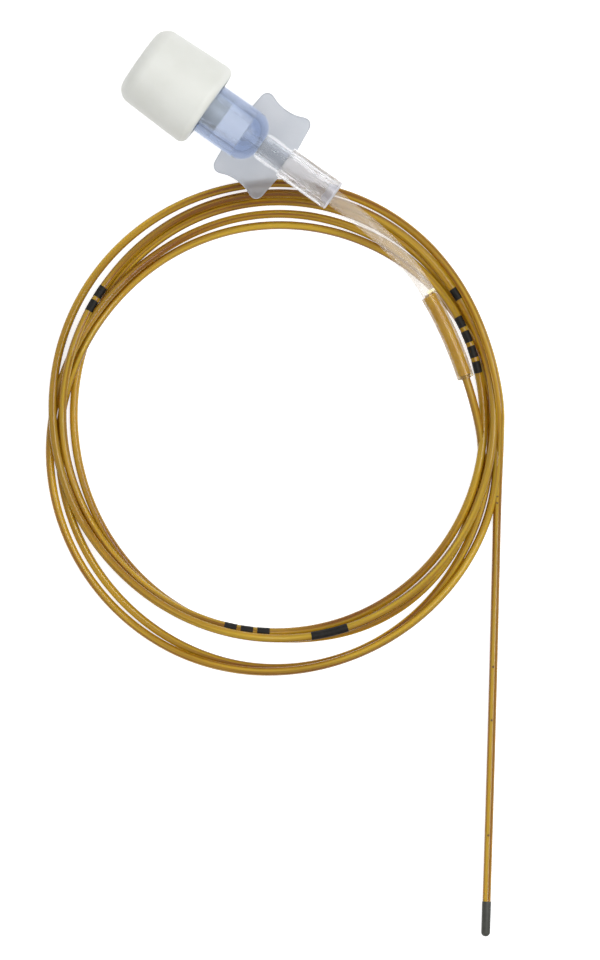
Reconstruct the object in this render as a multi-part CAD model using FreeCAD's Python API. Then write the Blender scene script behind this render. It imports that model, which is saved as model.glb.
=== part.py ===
import FreeCAD
import Part
import math
import os

# Infusion catheter: a fine tube lying in a loose coil, joined through a short clear tube
# to a winged Luer hub that a screw cap closes. All sizes are in millimetres.
# X runs along the hub from the cap to the tube, Z is up, and the cap and the coil rest on z = 0.

Vector = FreeCAD.Vector
os.makedirs("parts", exist_ok=True)

# Where the hub's parts start: the plane of the cap's rim, with the hub's middle at x = 0.
rim_x = -4.03

# Cap
cap_depth = 10.2
cap_draft = 0.4
cap_end_corner = 1.8
cap_rim_bevel = 0.5
collar_wall = 1.35
collar_depth = 6.6
relief_depth = 8.4
relief_width = 1.1
cone_core_diameter = 1.9
cone_core_depth = 8.0

# Luer cone on the cap and socket in the hub: 6 parts in 100 on the diameter
luer_taper = 0.06
luer_clearance = 0.05
cone_tip_diameter = 3.93
cone_reach = 2.1
cone_engagement = 4.8

# Lock lugs on the hub's mouth
lug_diameter = 7.8
lug_width = 3.1
lug_thickness = 1.1
lug_bevel = 0.2
lug_clearance = 0.15

# Hub body
barrel_diameter = 6.5
barrel_length = 8.1
mouth_bevel = 0.15
socket_depth = 7.9
funnel_diameter = 2.4
funnel_depth = 0.9
channel_diameter = 1.2
shoulder_radius = 2.3
neck_diameter = 3.1
neck_flare = 0.35
nose_diameter = 3.5
nose_length = 3.55
nose_step = 0.1
nose_step_length = 1.2

# Wings
wing_thickness = 0.9
wing_edge_bevel = 0.22
wing_start = 4.0
wing_tip_near = 0.4
wing_tip_height_near = 6.25
wing_tip_radius_near = 0.8
wing_waist_height = 5.05
wing_tip_height_far = 6.45
wing_tip_radius_far = 0.9
wing_overhang = 0.36
wing_clearance = 0.05

# Strain relief sleeve
sleeve_diameter = 3.8
sleeve_length = 7.1
sleeve_edge_bevel = 0.2
spigot_diameter = 2.7
spigot_clearance = 0.02
bell_diameter = 3.0
bell_depth = 1.2

# Extension tube
tube_diameter = 2.05
tube_length = 38.0
tube_clearance = 0.03

# Catheter
catheter_diameter = 1.0
bond_clearance = 0.04
bond_length = 11.0

# Catheter tip
tip_diameter = 1.08
tip_length = 4.15

# Coil of the catheter: the outer shape of its turns
coil_middle = (10.4, -26.7)
coil_outer_length = 59.4
coil_outer_width = 55.0
coil_inner_diameter = 47.6
coil_height = 2.4
coil_turn_deg = -54.74


def spot(x, radius):
    """A point of a turned profile, at x along the axis."""
    return Vector(x, radius, 0)


def run(start, end):
    """A straight edge."""
    return Part.LineSegment(start, end).toShape()


def turned(edges):
    """The solid that a closed profile sweeps round the hub's axis."""
    face = Part.Face(Part.Wire(edges))
    return face.revolve(Vector(0, 0, 0), Vector(1, 0, 0), 360)


def turned_polygon(points):
    """The solid that a closed profile of straight edges sweeps round the hub's axis."""
    return turned([run(a, b) for a, b in zip(points, points[1:] + points[:1])])


def rounding(centre_x, centre_radius, size, start_deg, end_deg, cones):
    """Points along an arc of a profile, so that a rounding is turned as a few short cones."""
    step = (end_deg - start_deg) / cones
    turns = [math.radians(start_deg + step * i) for i in range(cones + 1)]
    return [
        spot(centre_x + size * math.cos(turn), centre_radius + size * math.sin(turn))
        for turn in turns
    ]


# Places along the axis that the cap and the hub share
cone_tip_x = rim_x + cone_reach
mouth_x = cone_tip_x - cone_engagement
shoulder_x = mouth_x + barrel_length
shoulder_drop = (barrel_diameter - neck_diameter) / 2
shoulder_run = math.sqrt(shoulder_radius**2 - (shoulder_radius - shoulder_drop) ** 2)
neck_x = shoulder_x + shoulder_run
nose_end_x = neck_x + nose_length
sleeve_end_x = nose_end_x + sleeve_length


def cone_radius(x):
    """The cap's cone at x; the hub's socket is this and the clearance."""
    return cone_tip_diameter / 2 + (cone_tip_x - x) * luer_taper / 2


def cap_radius(x):
    """The cap's drafted outside at x; it is widest at the rim."""
    rim = lug_diameter / 2 + lug_clearance + collar_wall
    return rim - cap_draft * (rim_x - x) / cap_depth


def make_cap():
    """Cap: a drafted cup with a round closed end, a collar round the lugs and a cored cone."""
    end_x = rim_x - cap_depth
    relief_x = rim_x - relief_depth
    cone_root = cone_radius(relief_x)
    collar = lug_diameter / 2 + lug_clearance
    core = cone_core_diameter / 2
    core_x = cone_tip_x - cone_core_depth
    bevel_x = rim_x - cap_rim_bevel
    corner_x = end_x + cap_end_corner
    corner_radius = cap_radius(end_x) - cap_end_corner
    return turned_polygon([
        spot(end_x, 0),
        *rounding(corner_x, corner_radius, cap_end_corner, 180, 90, 4),
        spot(bevel_x, cap_radius(bevel_x)),
        spot(rim_x, cap_radius(bevel_x) - cap_rim_bevel),
        spot(rim_x, collar),
        spot(rim_x - collar_depth, collar),
        spot(relief_x, cone_root + relief_width),
        spot(relief_x, cone_root),
        spot(cone_tip_x, cone_radius(cone_tip_x)),
        spot(cone_tip_x, core),
        spot(core_x, core),
        spot(core_x, 0),
    ])


def make_lugs():
    """Two lugs on opposite sides of the mouth, cut from one bevelled ring."""
    ring = turned_polygon([
        spot(mouth_x, barrel_diameter / 4),
        spot(mouth_x, lug_diameter / 2 - lug_bevel),
        spot(mouth_x + lug_bevel, lug_diameter / 2),
        spot(mouth_x + lug_thickness - lug_bevel, lug_diameter / 2),
        spot(mouth_x + lug_thickness, lug_diameter / 2 - lug_bevel),
        spot(mouth_x + lug_thickness, barrel_diameter / 4),
    ])
    slab = Part.makeBox(
        lug_thickness,
        lug_diameter,
        lug_width,
        Vector(mouth_x, -lug_diameter / 2, -lug_width / 2),
    )
    return ring.common(slab)


def make_wing():
    """One wing: a thin plate with a hollow outer edge between two rounded tips."""
    start = rim_x + wing_start
    root = nose_diameter / 4
    near = Vector(start + wing_tip_near, wing_tip_height_near, 0)
    far = Vector(nose_end_x + wing_overhang, wing_tip_height_far, 0)
    waist = Vector((near.x + far.x) / 2, wing_waist_height, 0)
    beside_sleeve = Vector(nose_end_x, sleeve_diameter / 2 + wing_clearance, 0)
    edges = [
        run(Vector(start, root, 0), near),
        Part.Arc(near, waist, far).toShape(),
        run(far, beside_sleeve),
        run(beside_sleeve, Vector(nose_end_x, root, 0)),
        run(Vector(nose_end_x, root, 0), Vector(start, root, 0)),
    ]
    plate = Part.Face(Part.Wire(edges)).extrude(Vector(0, 0, wing_thickness))
    plate.translate(Vector(0, 0, -wing_thickness / 2))
    for corner, radius in ((near, wing_tip_radius_near), (far, wing_tip_radius_far)):
        upright = [
            edge
            for edge in plate.Edges
            if abs(edge.BoundBox.ZLength - wing_thickness) < 1e-4
            and (Vector(edge.CenterOfMass.x, edge.CenterOfMass.y, 0) - corner).Length < 1e-4
        ]
        plate = plate.makeFillet(radius, upright)
    outline = [
        edge
        for edge in plate.Edges
        if edge.BoundBox.ZLength < 1e-4 and edge.BoundBox.YMax > beside_sleeve.y + 1e-4
    ]
    return plate.makeChamfer(wing_edge_bevel, outline)


def make_hub():
    """Hub: barrel, round shoulder, neck and nose with two wings and the lugs, then the bores."""
    barrel = barrel_diameter / 2
    nose = nose_diameter / 2
    step_x = nose_end_x - nose_step_length
    shoulder_end = math.degrees(math.atan2(shoulder_radius - shoulder_drop, shoulder_run))
    body = turned_polygon([
        spot(mouth_x, 0),
        spot(mouth_x, barrel - mouth_bevel),
        spot(mouth_x + mouth_bevel, barrel),
        *rounding(shoulder_x, barrel - shoulder_radius, shoulder_radius, 90, shoulder_end, 5),
        spot(neck_x + neck_flare, nose),
        spot(step_x, nose),
        spot(step_x, nose - nose_step),
        spot(nose_end_x, nose - nose_step),
        spot(nose_end_x, 0),
    ])
    wing = make_wing()
    other_wing = wing.copy()
    other_wing.rotate(Vector(0, 0, 0), Vector(1, 0, 0), 180)
    body = body.multiFuse([wing, other_wing, make_lugs()])

    socket_end = mouth_x + socket_depth
    channel = channel_diameter / 2
    seat = spigot_diameter / 2 + spigot_clearance
    bores = turned_polygon([
        spot(mouth_x, 0),
        spot(mouth_x, cone_radius(mouth_x) + luer_clearance),
        spot(socket_end, cone_radius(socket_end) + luer_clearance),
        spot(socket_end, funnel_diameter / 2),
        spot(socket_end + funnel_depth, channel),
        spot(neck_x, channel),
        spot(neck_x, seat),
        spot(nose_end_x, seat),
        spot(nose_end_x, 0),
    ])
    return body.cut(bores).removeSplitter()


def make_strain_relief():
    """Sleeve: a spigot in the hub's nose and a thicker body that stops against its end face."""
    spigot = spigot_diameter / 2
    sleeve = sleeve_diameter / 2
    bore = tube_diameter / 2 + tube_clearance
    return turned_polygon([
        spot(neck_x, bore),
        spot(neck_x, spigot),
        spot(nose_end_x, spigot),
        spot(nose_end_x, sleeve),
        spot(sleeve_end_x - sleeve_edge_bevel, sleeve),
        spot(sleeve_end_x, sleeve - sleeve_edge_bevel),
        spot(sleeve_end_x, bell_diameter / 2),
        spot(sleeve_end_x - bell_depth, bore),
    ])


def route_edges(points, name):
    """Straight runs joined by tangent arcs, each arc as large as its two runs allow."""
    edges = []
    place = points[0]
    for before, corner, after in zip(points, points[1:], points[2:]):
        way_in = (corner - before).normalize()
        way_out = (after - corner).normalize()
        turn = way_in.getAngle(way_out)
        reach = 0.45 * min((corner - before).Length, (after - corner).Length)
        radius = reach / math.tan(turn / 2)
        inward = (way_out - way_in).normalize()
        inset = radius * (1 / math.cos(turn / 2) - 1)
        arc_start = corner - way_in * reach
        arc_end = corner + way_out * reach
        edges.append(run(place, arc_start))
        edges.append(Part.Arc(arc_start, corner + inward * inset, arc_end).toShape())
        place = arc_end
        print(f"{name}: turn {math.degrees(turn):.1f} degrees, radius {radius:.1f} mm")
    edges.append(run(place, points[-1]))
    return edges


def stretch(edges, start, end):
    """The part of a route between two lengths along it."""
    kept = []
    passed = 0.0
    for edge in edges:
        low = max(start - passed, 0)
        high = min(end - passed, edge.Length)
        if high - low > 1e-6:
            first = edge.getParameterByLength(low)
            last = edge.getParameterByLength(high)
            kept.append(edge.Curve.toShape(first, last))
        passed += edge.Length
    return kept


def swept(edges, radius, name):
    """A round rod along a route; its volume is compared with its section times its length."""
    path = Part.Wire(edges)
    first = edges[0]
    way = first.tangentAt(first.FirstParameter)
    ring = Part.Wire(Part.makeCircle(radius, first.valueAt(first.FirstParameter), way))
    rod = path.makePipeShell([ring], True, False)
    share = rod.Volume / (math.pi * radius**2 * path.Length)
    print(f"{name}: {path.Length:.1f} mm long, volume {share:.4f} of section times length")
    return rod


def make_tip(end, way):
    """Tip: a short rod with a domed end, pointing the way the catheter ends."""
    radius = tip_diameter / 2
    straight = tip_length - radius
    dome = Part.Arc(
        spot(straight, radius),
        spot(straight + radius * math.sin(math.pi / 4), radius * math.cos(math.pi / 4)),
        spot(tip_length, 0),
    ).toShape()
    solid = turned([
        run(spot(0, 0), spot(0, radius)),
        run(spot(0, radius), spot(straight, radius)),
        dome,
        run(spot(tip_length, 0), spot(0, 0)),
    ])
    solid.Placement = FreeCAD.Placement(end, FreeCAD.Rotation(Vector(1, 0, 0), way))
    return solid


def make_coil():
    """The space that the coil's turns fill: an oval ring with a round hollow."""
    oval = Part.Ellipse(Vector(0, 0, 0), coil_outer_length / 2, coil_outer_width / 2)
    outer = Part.Face(Part.Wire(oval.toShape())).extrude(Vector(0, 0, coil_height))
    ring = outer.cut(Part.makeCylinder(coil_inner_diameter / 2, coil_height))
    ring.rotate(Vector(0, 0, 0), Vector(0, 0, 1), coil_turn_deg)
    ring.translate(Vector(sleeve_end_x + coil_middle[0], coil_middle[1], 0))
    return ring


# The cap's widest place rests on the floor
axis_height = cap_radius(rim_x - cap_rim_bevel)
lift = Vector(0, 0, axis_height)


def beyond(x, y, z):
    """A point of a route, x and y from the sleeve's end and z from the floor."""
    return Vector(sleeve_end_x + x, y, z)


# From the hub's neck through the sleeve, over the coil and down into it
lead_route = [
    Vector(neck_x, 0, axis_height),
    beyond(3.8, 0.0, axis_height),
    beyond(12.5, -1.45, 4.75),
    beyond(20.05, -4.9, 4.1),
    beyond(27.0, -9.6, 3.5),
    beyond(32.5, -14.6, 1.3),
]

# From the coil's outer side to the tip, on the floor
tail_route = [
    beyond(33.1, -12.3, 0.8),
    beyond(42.3, -26.2, catheter_diameter / 2),
    beyond(53.1, -42.3, catheter_diameter / 2),
    beyond(63.75, -58.4, tip_diameter / 2),
]

lead_edges = route_edges(lead_route, "lead")
lead_length = sum(edge.Length for edge in lead_edges)
tube_edges = stretch(lead_edges, 0, tube_length)
tube_outside = swept(tube_edges, tube_diameter / 2, "extension tube")
lumen = swept(tube_edges, catheter_diameter / 2 + bond_clearance, "lumen")
catheter_edges = stretch(lead_edges, tube_length - bond_length, lead_length)

tail_edges = route_edges(tail_route, "tail")
tail_end = tail_edges[-1]
tip_way = tail_end.tangentAt(tail_end.LastParameter)
tip_way.z = 0

solids = {
    "luer_cap": make_cap().translated(lift),
    "winged_hub": make_hub().translated(lift),
    "strain_relief": make_strain_relief().translated(lift),
    "extension_tube": tube_outside.cut(lumen),
    "catheter_lead": swept(catheter_edges, catheter_diameter / 2, "catheter lead"),
    "catheter_coil": make_coil(),
    "catheter_tail": swept(tail_edges, catheter_diameter / 2, "catheter tail"),
    "catheter_tip": make_tip(tail_end.valueAt(tail_end.LastParameter), tip_way),
}

for name, solid in solids.items():
    box = solid.BoundBox
    print(
        f"{name}: valid {solid.isValid()}, {len(solid.Solids)} solid, {solid.Volume:.2f} mm3,"
        f" x {box.XMin:.2f} to {box.XMax:.2f}, y {box.YMin:.2f} to {box.YMax:.2f},"
        f" z {box.ZMin:.2f} to {box.ZMax:.2f}"
    )
    solid.exportStep(f"parts/{name}.step")
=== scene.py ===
import math

import bmesh
import bpy
from mathutils import Matrix, Vector


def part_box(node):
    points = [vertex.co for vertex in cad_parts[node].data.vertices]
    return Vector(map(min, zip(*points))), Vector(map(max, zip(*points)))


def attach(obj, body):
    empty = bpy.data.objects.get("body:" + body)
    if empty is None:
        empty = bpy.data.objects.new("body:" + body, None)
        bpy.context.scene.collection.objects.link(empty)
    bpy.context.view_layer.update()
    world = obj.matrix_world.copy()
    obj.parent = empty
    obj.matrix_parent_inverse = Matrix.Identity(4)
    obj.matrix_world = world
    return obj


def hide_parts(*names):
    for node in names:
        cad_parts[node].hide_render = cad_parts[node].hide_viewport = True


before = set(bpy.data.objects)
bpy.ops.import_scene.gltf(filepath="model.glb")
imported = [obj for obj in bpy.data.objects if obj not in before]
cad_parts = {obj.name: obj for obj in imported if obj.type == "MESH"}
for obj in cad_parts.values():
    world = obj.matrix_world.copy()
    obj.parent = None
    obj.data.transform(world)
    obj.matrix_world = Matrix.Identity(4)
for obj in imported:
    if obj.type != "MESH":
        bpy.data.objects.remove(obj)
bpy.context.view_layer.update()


# Luer cap: the white screw cap that keeps the hub's mouth clean. It is moulded in one shot of
# opaque polypropylene, with a collar that screws over the hub's lugs and a tapered plug inside.
mm = 0.001
axis_height = 5.38 * mm  # the hub's axis above the table


def smoothed(mesh, sharpest):
    """Shades a mesh smooth, except over edges sharper than the angle in degrees."""
    mesh.polygons.foreach_set("use_smooth", [True] * len(mesh.polygons))
    mesh.set_sharp_from_angle(angle=math.radians(sharpest))


def finished(name, shape, sharpest=35):
    """The object of a modelled shape, which isn't kept."""
    mesh = bpy.data.meshes.new(name)
    shape.to_mesh(mesh)
    shape.free()
    smoothed(mesh, sharpest)
    piece = bpy.data.objects.new(name, mesh)
    bpy.context.scene.collection.objects.link(piece)
    return piece


def on_axis(name, shape):
    """The object of a shape modelled round the X axis, raised to where the hub's axis lies."""
    bmesh.ops.translate(shape, verts=shape.verts[:], vec=(0, 0, axis_height))
    return finished(name, shape)


def rounded(shape, points, corners, segments=None):
    """Rounds an outline's corners, each by its third value, in millimetres."""
    for point, (_, _, rounding) in zip(points, corners):
        if rounding:
            bmesh.ops.bevel(
                shape, geom=[point], offset=rounding * mm, offset_type="OFFSET",
                segments=segments or max(3, round(rounding * 7)), profile=0.5,
                affect="VERTICES", material=-1,
            )


def turned(corners, ring=False, steps=96, segments=None):
    """A shape turned round the X axis. Corners are x, radius and rounding, in millimetres."""
    shape = bmesh.new()
    points = [shape.verts.new((x * mm, radius * mm, 0)) for x, radius, _ in corners]
    for start, end in zip(points, points[1:] + points[: int(ring)]):
        shape.edges.new((start, end))
    rounded(shape, points, corners, segments)
    bmesh.ops.spin(
        shape, geom=shape.verts[:] + shape.edges[:], cent=(0, 0, 0), axis=(1, 0, 0),
        angle=math.tau, steps=steps, use_merge=True,
    )
    bmesh.ops.remove_doubles(shape, verts=shape.verts[:], dist=1e-8)
    bmesh.ops.recalc_face_normals(shape, faces=shape.faces[:])
    return shape


def plastic(name, **settings):
    """A plastic with its surface's sockets set, underscores standing for spaces."""
    material = bpy.data.materials.new(name)
    material.use_nodes = True
    surface = material.node_tree.nodes["Principled BSDF"]
    for socket, value in settings.items():
        surface.inputs[socket.replace("_", " ")].default_value = value
    return material


def ramp(nodes, low, dark, high, light):
    """A node that goes from a dark colour at one value to a light one at another."""
    shades = nodes.new("ShaderNodeValToRGB")
    for stop, position, colour in zip(shades.color_ramp.elements, (low, high), (dark, light)):
        stop.position = position
        stop.color = (*colour, 1)
    return shades


def mottled(material, dark, light, scale, depth, grain):
    """Gives a plastic two close shades in soft clouds, and a fine moulded grain in its gloss.

    The scales of the clouds and the grain are per metre, and depth is the grain's strength.
    """
    nodes = material.node_tree.nodes
    link = material.node_tree.links.new
    surface = nodes["Principled BSDF"]
    place = nodes.new("ShaderNodeTexCoord")
    clouds = nodes.new("ShaderNodeTexNoise")
    clouds.name = "clouds"
    clouds.inputs["Scale"].default_value = scale
    clouds.inputs["Detail"].default_value = 3
    shades = ramp(nodes, 0.35, dark, 0.65, light)
    fine = nodes.new("ShaderNodeTexNoise")
    fine.inputs["Scale"].default_value = grain
    bump = nodes.new("ShaderNodeBump")
    bump.inputs["Strength"].default_value = depth
    bump.inputs["Distance"].default_value = 0.05 * mm
    link(place.outputs["Object"], clouds.inputs["Vector"])
    link(place.outputs["Object"], fine.inputs["Vector"])
    link(clouds.outputs["Fac"], shades.inputs["Fac"])
    link(shades.outputs["Color"], surface.inputs["Base Color"])
    link(fine.outputs["Fac"], bump.inputs["Height"])
    link(bump.outputs["Normal"], surface.inputs["Normal"])
    return material


cap_top, cap_rim = -14.23, -4.03
collar_bore, collar_floor = 4.05, -10.63
plug_root, plug_tip = -12.43, -1.93
core_radius, core_floor = 0.95, -9.93
luer_cap = on_axis("luer_cap_shell", turned([
    (cap_top, 0, 0),
    (cap_top, 5.0, 1.8),
    (cap_rim, 5.4, 1.0),
    (cap_rim, collar_bore, 0.15),
    (collar_floor, collar_bore, 0.2),
    (plug_root, 3.38, 0.2),
    (plug_root, 2.28, 0.2),
    (plug_tip, 1.965, 0.15),
    (plug_tip, core_radius, 0.1),
    (core_floor, core_radius, 0.1),
    (core_floor, 0, 0),
]))
cap_white = mottled(
    plastic("white_polypropylene", Roughness=0.42, IOR=1.49, Subsurface_Weight=0.15,
            Subsurface_Radius=(0.8, 0.8, 0.7), Subsurface_Scale=0.6 * mm),
    (0.72, 0.73, 0.685), (0.755, 0.765, 0.725), scale=260, depth=0.25, grain=2600,
)
luer_cap.data.materials.append(cap_white)
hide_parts("luer_cap")
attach(luer_cap, "cap")


# Lock thread: two thin ridges inside the cap's collar, moulded with it. They run nearly a full
# turn each, 5 mm forward per turn, and hold the hub's lugs between them.
def swept(section, start, sweep, steps, forward=0):
    """A section of x and radius, in millimetres, carried round the X axis and forward along it."""
    shape = bmesh.new()
    points = [shape.verts.new((x * mm, radius * mm, 0)) for x, radius in section]
    shape.faces.new(points)
    bmesh.ops.rotate(
        shape, verts=shape.verts[:], cent=(0, 0, 0), matrix=Matrix.Rotation(start, 3, "X")
    )
    bmesh.ops.spin(
        shape, geom=shape.verts[:] + shape.edges[:] + shape.faces[:], cent=(0, 0, 0),
        axis=(1, 0, 0), dvec=(forward * mm / steps, 0, 0), angle=math.radians(sweep), steps=steps,
    )
    bmesh.ops.holes_fill(shape, edges=[edge for edge in shape.edges if edge.is_boundary])
    bmesh.ops.recalc_face_normals(shape, faces=shape.faces[:])
    return shape


ridge_section = [(-9.6, 4.2), (-9.6, 4.05), (-9.4, 3.62), (-9.2, 3.62), (-9.0, 4.05), (-9.0, 4.2)]
for number in (1, 2):
    ridge = on_axis(f"cap_thread_{number}", swept(
        ridge_section, math.radians(110 + 180 * number), sweep=317, steps=72, forward=4.4
    ))
    ridge.data.materials.append(cap_white)
    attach(ridge, "cap")


# Winged hub: one moulding in clear, faintly blue plastic. Its barrel has the tapered socket for
# a syringe and two lock lugs, its thin nose takes the sleeve, and two matt wings are taped down.
hub_mouth, socket_floor = -6.73, 1.17
barrel_radius, channel_radius = 3.25, 0.6
sleeve_seat, seat_radius, nose_end = 3.59, 1.37, 7.14


def joined(piece, others):
    """One solid skin for a piece and the parts moulded with it."""
    for other in others:
        fusion = piece.modifiers.new(other.name, "BOOLEAN")
        fusion.operation = "UNION"
        fusion.solver = "EXACT"
        fusion.object = other
    seen = piece.evaluated_get(bpy.context.evaluated_depsgraph_get())
    skin = bpy.data.meshes.new_from_object(seen)
    piece.modifiers.clear()
    piece.data = skin
    smoothed(skin, 35)
    for other in others:
        bpy.data.objects.remove(other)
    return piece


def wing(turn):
    """A thin flat wing: its outer edge dips between two round lobes, and its rims are rounded."""
    thickness = 0.9 * mm
    outline = [
        (-0.03, 2.3, 0),
        (0.32, 6.1, 1.35),
        (3.72, 4.72, 1.9),
        (7.08, 6.17, 1.3),
        (7.54, 1.97, 0.1),
        (7.12, 1.95, 0),
        (7.1, 1.45, 0),
        (1.9, 1.45, 0),
        (1.9, 2.3, 0),
    ]
    shape = bmesh.new()
    points = [shape.verts.new((x * mm, y * mm, -thickness / 2)) for x, y, _ in outline]
    shape.faces.new(points)
    rounded(shape, points, outline, segments=8)
    thick = bmesh.ops.extrude_face_region(shape, geom=shape.faces[:])
    raised = [part for part in thick["geom"] if isinstance(part, bmesh.types.BMVert)]
    bmesh.ops.translate(shape, verts=raised, vec=(0, 0, thickness))
    bmesh.ops.recalc_face_normals(shape, faces=shape.faces[:])
    # The rims of both faces, without the edges at the wing's root, which the barrel covers
    rims = [
        edge for edge in shape.edges
        if abs(edge.verts[0].co.z - edge.verts[1].co.z) < 1e-6
        and min(edge.verts[0].co.y, edge.verts[1].co.y) > 2.2 * mm
        and max(edge.verts[0].co.y, edge.verts[1].co.y) > 2.4 * mm
    ]
    bmesh.ops.bevel(
        shape, geom=rims, offset=0.28 * mm, offset_type="OFFSET", segments=4, profile=0.5,
        affect="EDGES", material=-1,
    )
    bmesh.ops.rotate(
        shape, verts=shape.verts[:], cent=(0, 0, 0), matrix=Matrix.Rotation(turn, 3, "X")
    )
    return shape


def lug(turn):
    """A lock lug: a short arc of a ring that stands on the barrel's mouth."""
    section = [
        (hub_mouth, 2.8), (hub_mouth, 3.75), (-6.58, 3.9), (-5.78, 3.9), (-5.63, 3.75), (-5.63, 2.8)
    ]
    return swept(section, math.radians(-23.5) + turn, sweep=47, steps=12)


def tinted(material, colour, density):
    """Gives a clear plastic its own colour, deeper where it is thicker."""
    tint = material.node_tree.nodes.new("ShaderNodeVolumeAbsorption")
    tint.inputs["Color"].default_value = (*colour, 1)
    tint.inputs["Density"].default_value = density
    output = material.node_tree.nodes["Material Output"]
    material.node_tree.links.new(tint.outputs["Volume"], output.inputs["Volume"])


winged_hub = on_axis("winged_hub_body", turned([
    (hub_mouth, 2.159, 0.08),
    (hub_mouth, barrel_radius, 0.15),
    (3.13, barrel_radius, 1.7),
    (sleeve_seat, 1.55, 0.1),
    (3.94, 1.75, 0.15),
    (5.94, 1.75, 0.05),
    (5.98, 1.65, 0),
    (nose_end, 1.65, 0.05),
    (nose_end, seat_radius, 0),
    (sleeve_seat, seat_radius, 0),
    (sleeve_seat, channel_radius, 0.05),
    (2.07, channel_radius, 0.1),
    (socket_floor, 1.2, 0.05),
    (socket_floor, 1.922, 0.1),
], ring=True))
winged_hub = joined(winged_hub, [
    on_axis("left_wing", wing(0)), on_axis("right_wing", wing(math.pi)),
    on_axis("left_lug", lug(0)), on_axis("right_lug", lug(math.pi)),
])
hub_blue = mottled(
    plastic("clear_blue_plastic", Roughness=0.06, IOR=1.5, Transmission_Weight=0.93, Alpha=0.42),
    (0.91, 0.92, 0.945), (0.94, 0.95, 0.965), scale=320, depth=0.08, grain=1400,
)
tinted(hub_blue, (0.15, 0.30, 0.56), density=290)
wing_blue = mottled(
    plastic("matt_blue_plastic", Roughness=0.35, IOR=1.46, Transmission_Weight=0.75, Alpha=0.88),
    (0.45, 0.475, 0.52), (0.49, 0.51, 0.55), scale=300, depth=0.3, grain=1800,
)
nose_blue = mottled(
    plastic("thin_blue_plastic", Roughness=0.1, IOR=1.5, Transmission_Weight=0.6, Alpha=0.3),
    (0.72, 0.80, 0.93), (0.76, 0.84, 0.96), scale=300, depth=0.01, grain=900,
)
winged_hub.data.materials.clear()
for material in (hub_blue, wing_blue, nose_blue):
    winged_hub.data.materials.append(material)
wing_from, wing_root = -1 * mm, 3.1 * mm
nose_from, nose_side = 3.6 * mm, 1.8 * mm
for face in winged_hub.data.polygons:
    if face.center.x > wing_from and abs(face.center.y) > wing_root:
        face.material_index = 1
    elif face.center.x > nose_from and abs(face.center.y) < nose_side:
        face.material_index = 2
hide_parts("winged_hub")
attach(winged_hub, "catheter")


# Strain relief: a clear soft sleeve that keeps the tube from kinking where it leaves the hub. It
# is pushed and bonded into the hub's nose, and its matt mouth widens in a short bell.
sleeve_radius, bonded_radius, sleeve_bore = 1.9, 1.35, 1.055
sleeve_mouth, bell_start = 14.24, 13.04
strain_relief = on_axis("strain_relief_sleeve", turned([
    (sleeve_seat, sleeve_bore, 0),
    (sleeve_seat, bonded_radius, 0.05),
    (nose_end, bonded_radius, 0),
    (nose_end, sleeve_radius, 0.12),
    (sleeve_mouth, sleeve_radius, 0.25),
    (sleeve_mouth, 1.5, 0.08),
    (bell_start, sleeve_bore, 0),
], ring=True))
sleeve_clear = mottled(
    plastic("clear_sleeve_plastic", Roughness=0.1, IOR=1.5, Transmission_Weight=0.92, Alpha=0.6),
    (0.67, 0.68, 0.72), (0.73, 0.74, 0.78), scale=300, depth=0.002, grain=700,
)
sleeve_rim = mottled(
    plastic("matt_sleeve_end", Roughness=0.3, IOR=1.46, Transmission_Weight=0.7, Alpha=0.85),
    (0.74, 0.75, 0.85), (0.80, 0.81, 0.89), scale=300, depth=0.2, grain=1800,
)
sleeve_bonded = mottled(
    plastic("bonded_sleeve_plastic", Roughness=0.1, IOR=1.5, Transmission_Weight=0.95, Alpha=0.2),
    (0.86, 0.88, 0.93), (0.90, 0.92, 0.96), scale=300, depth=0.002, grain=700,
)
for material in (sleeve_clear, sleeve_rim, sleeve_bonded):
    strain_relief.data.materials.append(material)
rim_from, bonded_to = 13.1 * mm, 7.13 * mm
for face in strain_relief.data.polygons:
    if face.center.x > rim_from:
        face.material_index = 1
    elif face.center.x < bonded_to:
        face.material_index = 2
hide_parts("strain_relief")
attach(strain_relief, "catheter")


# Extension tube: a short length of clear tubing from the hub's channel, out through the sleeve
# and down over the coil. It is cut square, and the catheter is bonded into its last 11 mm.
sleeve_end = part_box("strain_relief")[1][0]


def beyond(x, y, z):
    """A point x past the sleeve's end and y to its side, z above the table, in millimetres."""
    return Vector((sleeve_end + x * mm, y * mm, z * mm))


route = [
    Vector((sleeve_seat * mm, 0, axis_height)),
    beyond(3.8, 0.0, 5.38),
    beyond(12.5, -1.45, 4.75),
    beyond(20.05, -4.9, 4.1),
    beyond(27.0, -9.6, 3.5),
    beyond(32.5, -14.6, 1.3),
]

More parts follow.
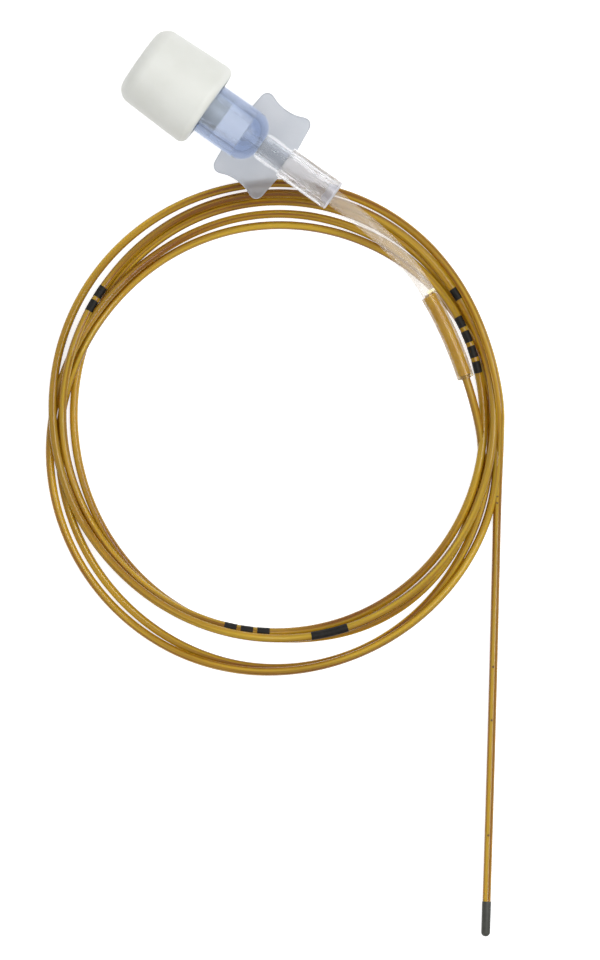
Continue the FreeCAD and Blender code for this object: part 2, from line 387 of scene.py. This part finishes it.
# The coil's distance from its middle, in millimetres, at every step of its five turns. They are
# counted clockwise from a line that leans from the hub's axis by the slant, in degrees. A smooth
# line stays inside its corners, so these stand half a step off and a little further out
slant = 35.26
step_angle = 15
steps_per_turn = 24
drawn_in = 0.9915
coil_middle = beyond(10.4, -26.7, 0)
coil_start = math.radians(slant - step_angle / 2)
turns = [
    (24.86, 25.38, 25.94, 26.14, 25.88, 25.28, 24.83, 24.49, 24.17, 23.92, 23.86, 24.00,
     24.40, 25.02, 25.79, 26.49, 27.01, 27.29, 27.38, 27.27, 26.99, 26.62, 26.16, 25.78),
    (25.77, 26.36, 27.01, 27.77, 28.32, 28.61, 28.63, 28.28, 27.78, 27.25, 26.71, 26.19,
     25.63, 25.05, 24.65, 24.45, 24.38, 24.43, 24.55, 24.77, 25.09, 25.43, 25.74, 26.11),
    (26.69, 27.53, 27.97, 28.30, 28.61, 28.91, 29.17, 29.24, 28.99, 28.57, 28.00, 27.36,
     26.64, 25.95, 25.52, 25.36, 25.55, 25.79, 25.90, 25.90, 25.89, 25.76, 25.34, 24.97),
    (24.74, 24.60, 24.51, 24.45, 24.38, 24.32, 24.32, 24.38, 24.48, 24.63, 24.91, 25.34,
     25.76, 26.17, 26.71, 27.35, 27.95, 28.26, 28.36, 28.16, 27.72, 27.02, 26.59, 26.21),
    (25.90, 25.73, 25.63, 25.47, 25.27, 25.11, 25.01, 25.00, 25.09, 25.34, 25.86, 26.36,
     26.99, 27.75, 28.42, 28.95, 29.33, 29.51, 29.56, 29.32, 28.77, 27.93, 27.19, 26.92),
]
radii = [radius for turn in turns for radius in turn]

# Each turn lies on the table, or on the earlier turns that it crosses, and sinks between them. The
# first one comes down from the extension tube
wire = 1.0  # the catheter's thickness in millimetres
clearance = 0.02
first_height, first_fall = 1.3, 0.45  # in millimetres, the second for each step
heights = []
for step, radius in enumerate(radii):
    height = max(wire / 2, first_height - first_fall * step)
    for earlier in range(step % steps_per_turn, step, steps_per_turn):
        apart = abs(radius - radii[earlier])
        if apart < wire:
            lift = math.sqrt((wire + clearance) ** 2 - apart**2)
            height = max(height, heights[earlier] + lift)
    heights.append(height)
for step in range(1, len(radii)):
    angle = coil_start - math.radians(step_angle) * step
    out = radii[step] / drawn_in * mm
    route.append(coil_middle + Vector((
        out * math.cos(angle), out * math.sin(angle), heights[step] * mm
    )))

route += [
    beyond(33.1, -12.3, 2.3),
    beyond(36.2, -17.1, 1.0),
    beyond(38.8, -21.0, 0.5),
    beyond(42.3, -26.2, 0.5),
    beyond(53.1, -42.3, 0.5),
    beyond(63.75, -58.4, 0.54),
]

guide = bpy.data.curves.new("tube_line", "CURVE")
guide.dimensions = "3D"
guide.resolution_u = 14
line = guide.splines.new("NURBS")
line.points.add(len(route) - 1)
for point, place in zip(line.points, route):
    point.co = (*place, 1)
line.order_u = 3
line.use_endpoint_u = True


def made_mesh(curve):
    """The mesh of a curve, which itself isn't kept."""
    holder = bpy.data.objects.new("line_to_mesh", curve)
    mesh = bpy.data.meshes.new_from_object(holder)
    bpy.data.objects.remove(holder)
    bpy.data.curves.remove(curve)
    return mesh


way = [vertex.co.copy() for vertex in made_mesh(guide).vertices]
reached = [0.0]
for a, b in zip(way, way[1:]):
    reached.append(reached[-1] + (b - a).length)


def along(start, end):
    """The points of the tubes' shared line between two lengths along it, in metres."""
    kept = []
    for a, b, low, high in zip(way, way[1:], reached, reached[1:]):
        if high <= start or low >= end:
            continue
        if not kept:
            kept.append(a.lerp(b, max(start - low, 0) / (high - low)))
        kept.append(a.lerp(b, min(end - low, high - low) / (high - low)))
    return kept


def tube(name, path, outer, inner, sides):
    """A length of tubing round a path, with its bore and its square-cut ends.

    The outer and inner radius are in millimetres, and sides counts the faces round it.
    """
    shape = bmesh.new()
    for radius in (outer, inner):
        skin = bpy.data.curves.new("skin", "CURVE")
        skin.dimensions = "3D"
        skin.bevel_depth = radius * mm
        skin.bevel_resolution = sides // 2 - 2
        followed = skin.splines.new("POLY")
        followed.points.add(len(path) - 1)
        for point, place in zip(followed.points, path):
            point.co = (*place, 1)
        shape.from_mesh(made_mesh(skin))
    rims = [edge for edge in shape.edges if edge.is_boundary]
    for end in (path[0], path[-1]):
        cut = [
            edge for edge in rims
            if ((edge.verts[0].co + edge.verts[1].co) / 2 - end).length < 1.5 * outer * mm
        ]
        bmesh.ops.bridge_loops(shape, edges=cut)
    bmesh.ops.recalc_face_normals(shape, faces=shape.faces[:])
    return finished(name, shape, 60)


tube_end = 38.0 * mm
bond_length = 11 * mm
catheter_start = tube_end - bond_length
extension_path = along(0, tube_end)
extension_tube = tube("extension_tubing", extension_path, outer=1.025, inner=0.74, sides=32)
tube_clear = mottled(
    plastic("clear_soft_tubing", Roughness=0.12, IOR=1.4, Transmission_Weight=0.3, Alpha=0.17),
    (0.80, 0.74, 0.66), (0.86, 0.81, 0.74), scale=400, depth=0.002, grain=700,
)
tube_wetted = mottled(
    plastic("bonded_soft_tubing", Roughness=0.12, IOR=1.4, Transmission_Weight=0.95, Alpha=0.65),
    (0.90, 0.76, 0.34), (0.94, 0.82, 0.42), scale=400, depth=0.002, grain=700,
)
extension_tube.data.materials.append(tube_clear)
extension_tube.data.materials.append(tube_wetted)
bonded_from = along(0, catheter_start)[-1].x
for face in extension_tube.data.polygons:
    face.material_index = int(face.center.x > bonded_from)
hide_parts("extension_tube")
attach(extension_tube, "catheter")


# Catheter tip: a short black rounded end, moulded on so that it slides in without scratching.
# It is a little thicker than the tube, and shows up well against it.
catheter_end = reached[-1]
last_stretch = along(catheter_end - 1 * mm, catheter_end)
tip_way = (last_stretch[-1] - last_stretch[0]).normalized()
tip_way.z = 0
tip_back, tip_front, tip_radius = -0.05, 4.15, 0.54
shape = turned([
    (tip_back, 0, 0), (tip_back, tip_radius, 0.06), (tip_front, tip_radius, 0.52), (tip_front, 0, 0)
], steps=40, segments=8)
bmesh.ops.transform(
    shape, verts=shape.verts[:],
    matrix=Matrix.Translation(way[-1]) @ tip_way.to_track_quat("X", "Z").to_matrix().to_4x4(),
)
catheter_tip = finished("rounded_tip", shape)
tip_black = mottled(
    plastic("black_soft_plastic", Roughness=0.5, IOR=1.47),
    (0.028, 0.029, 0.023), (0.05, 0.051, 0.042), scale=900, depth=0.2, grain=3000,
)
catheter_tip.data.materials.append(tip_black)
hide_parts("catheter_tip")
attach(catheter_tip, "catheter")


# Catheter: about 0.9 m of fine amber tubing with a small bore, drawn in one length. It starts in
# a bond inside the extension tube, lies in five loose turns and runs out straight to its tip.
catheter_path = along(catheter_start, catheter_end)
catheter = tube("catheter_tubing", catheter_path, outer=wire / 2, inner=0.3, sides=16)


def drawing_streaks_and_painted_light(material, lengthwise, round_it):
    """Lays a tube's clouds in long streaks, so many along it and round it. They are partly the
    streaks that drawing leaves and partly painted highlights and painted shade.
    """
    nodes = material.node_tree.nodes
    surface_map = nodes.new("ShaderNodeUVMap")
    surface_map.uv_map = "UVMap"
    stretch = nodes.new("ShaderNodeMapping")
    stretch.inputs["Scale"].default_value = (lengthwise, round_it, 1)
    link = material.node_tree.links.new
    link(surface_map.outputs["UV"], stretch.inputs["Vector"])
    link(stretch.outputs["Vector"], nodes["clouds"].inputs["Vector"])


# Streak ends: partly the amber's own uneven tone, partly painted shade and painted highlights
amber = mottled(
    plastic("amber_tubing", Roughness=0.08, IOR=1.45, Transmission_Weight=0.58,
            Specular_IOR_Level=0.4),
    (0.36, 0.135, 0.002), (0.97, 0.68, 0.05), scale=1, depth=0.03, grain=1500,
)
tinted(amber, (0.85, 0.62, 0.15), density=1800)
drawing_streaks_and_painted_light(amber, lengthwise=30, round_it=6)
catheter.data.materials.append(amber)
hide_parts("catheter_lead", "catheter_coil", "catheter_tail")
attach(catheter, "catheter")
bond_path = along(catheter_start + 0.2 * mm, tube_end - 0.4 * mm)
bond = tube("bond", bond_path, outer=0.73, inner=0.505, sides=24)
adhesive = mottled(
    plastic("amber_adhesive", Roughness=0.25, IOR=1.4, Transmission_Weight=0.1),
    (0.68, 0.39, 0.001), (0.80, 0.51, 0.003), scale=500, depth=0.1, grain=1500,
)
bond.data.materials.append(adhesive)
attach(bond, "catheter")


# Depth marks: short black bands printed round the tube, which the nurse counts to know how much
# of it is in. One long band, then three, two, one and four short ones can be seen.
def length_at(turn, degrees):
    """The length along the line where it reaches an angle of a turn, both counted as above."""
    target = 360 * turn + degrees
    gone_round = None
    for place, length in zip(way, reached):
        if length < tube_end:
            continue
        arm = place - coil_middle
        angle = math.degrees(math.radians(slant) - math.atan2(arm.y, arm.x))
        if gone_round is None:
            gone_round = (angle + 180) % 360 - 180
        gone_round += (angle - gone_round + 180) % 360 - 180
        if gone_round >= target:
            return length
    return reached[-1]


ink = mottled(
    plastic("black_print", Roughness=0.6, IOR=1.35),
    (0.004, 0.0035, 0.003), (0.012, 0.010, 0.008), scale=2500, depth=0.3, grain=6000,
)
# Each mark's turn and angle in degrees, the length of its bands in millimetres and their number
marks = [
    (4, 69.2, 4.5, 1),
    (3, 90.8, 1.5, 3),
    (3, 211.5, 1.5, 2),
    (3, 321.2, 1.5, 1),
    (2, 327.7, 1.4, 4),
]
band_gap = 0.5
for number, (turn, degrees, size, count) in enumerate(marks, 1):
    first = length_at(turn, degrees)
    for band in range(count):
        start = first + band * (size + band_gap) * mm
        printed = tube(
            f"depth_mark_{number}_{band + 1}", along(start, start + size * mm),
            outer=0.51, inner=0.503, sides=24,
        )
        printed.data.materials.append(ink)
        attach(printed, "catheter")


# Side holes: five fine eyes drilled through the wall of the catheter's last 50 mm, which let the
# fluid out. Each is drawn as a small dark brown cone set in the wall: painted shade for the dark
# inside of the hole.
holes = bmesh.new()
to_wall = Vector((-0.03, -0.02, 0.374))  # from the tube's middle to the holes' own, in millimetres
for from_end in (8.0, 21.8, 28.2, 47.9, 48.7):
    place = along(catheter_end - from_end * mm, catheter_end)[0]
    bmesh.ops.create_cone(
        holes, cap_ends=True, segments=16, radius1=0.1 * mm, radius2=0.14 * mm, depth=0.26 * mm,
        matrix=Matrix.Translation(place + to_wall * mm),
    )
side_hole_shades = finished("side_hole_shades", holes)
# Painted shade: this dark brown stands for the shade inside each hole, not for a colour of the cut
# wall
hole_painted_shade = mottled(
    plastic("painted_hole_shade", Roughness=0.6, IOR=1.4),
    (0.10, 0.045, 0.008), (0.16, 0.08, 0.015), scale=2500, depth=0.3, grain=6000,
)
side_hole_shades.data.materials.append(hole_painted_shade)
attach(side_hole_shades, "catheter")


# The table, the lamp and the camera: a white table under soft light from above, seen straight
# down as in the photograph, which shows 72 by 115 mm of it.
shape = bmesh.new()
bmesh.ops.create_grid(shape, x_segments=1, y_segments=1, size=3.0)
table = finished("table", shape)
table_white = plastic("white_table", Roughness=0.9, Base_Color=(0.8, 0.8, 0.8, 1))
nodes = table_white.node_tree.nodes
link = table_white.node_tree.links.new
# It glows only for the rays that show it, straight, in a gloss or through a clear piece, so that
# it is white in the picture and throws no light of its own on the pieces
table_glow = 0.7
rays = nodes.new("ShaderNodeLightPath")
seen = nodes.new("ShaderNodeMath")
seen.operation = "MAXIMUM"
through = nodes.new("ShaderNodeMath")
through.operation = "MAXIMUM"
glow = nodes.new("ShaderNodeMath")
glow.operation = "MULTIPLY"
glow.inputs[1].default_value = table_glow
link(rays.outputs["Is Camera Ray"], seen.inputs[0])
link(rays.outputs["Is Glossy Ray"], seen.inputs[1])
link(seen.outputs[0], through.inputs[0])
link(rays.outputs["Is Transmission Ray"], through.inputs[1])
link(through.outputs[0], glow.inputs[0])
surface = nodes["Principled BSDF"]
surface.inputs["Emission Color"].default_value = (1, 1, 1, 1)
link(glow.outputs[0], surface.inputs["Emission Strength"])
table.data.materials.append(table_white)

world = bpy.data.worlds.new("studio")
world.use_nodes = True
nodes = world.node_tree.nodes
link = world.node_tree.links.new
sky = nodes.new("ShaderNodeTexCoord")
parts = nodes.new("ShaderNodeSeparateXYZ")
fall = ramp(nodes, 0.1, (0.6, 0.6, 0.6), 0.75, (1, 1, 1))
link(sky.outputs["Generated"], parts.inputs[0])
link(parts.outputs["Z"], fall.inputs["Fac"])
link(fall.outputs["Color"], nodes["Background"].inputs["Color"])
nodes["Background"].inputs["Strength"].default_value = 0.79
bpy.context.scene.world = world

lamp = bpy.data.objects.new("soft_lamp", bpy.data.lights.new("soft_lamp", "AREA"))
lamp.data.shape = "DISK"
lamp.data.size = 0.5
lamp.data.energy = 2.3
lamp.location = (0.25, 0.22, 0.62)
lamp_aim = Vector((0.03, -0.03, 0))
lamp.rotation_euler = (lamp_aim - lamp.location).to_track_quat("-Z", "Y").to_euler()
bpy.context.scene.collection.objects.link(lamp)

camera = bpy.data.objects.new("camera", bpy.data.cameras.new("camera"))
camera.data.sensor_width = 36
camera.data.lens = 375
camera.data.clip_end = 20
camera.location = (30.5 * mm, -30.0 * mm, 1.2)
camera.rotation_euler = (0, 0, math.radians(slant))
bpy.context.scene.collection.objects.link(camera)
bpy.context.scene.camera = camera
bpy.context.scene.view_settings.view_transform = "Standard"
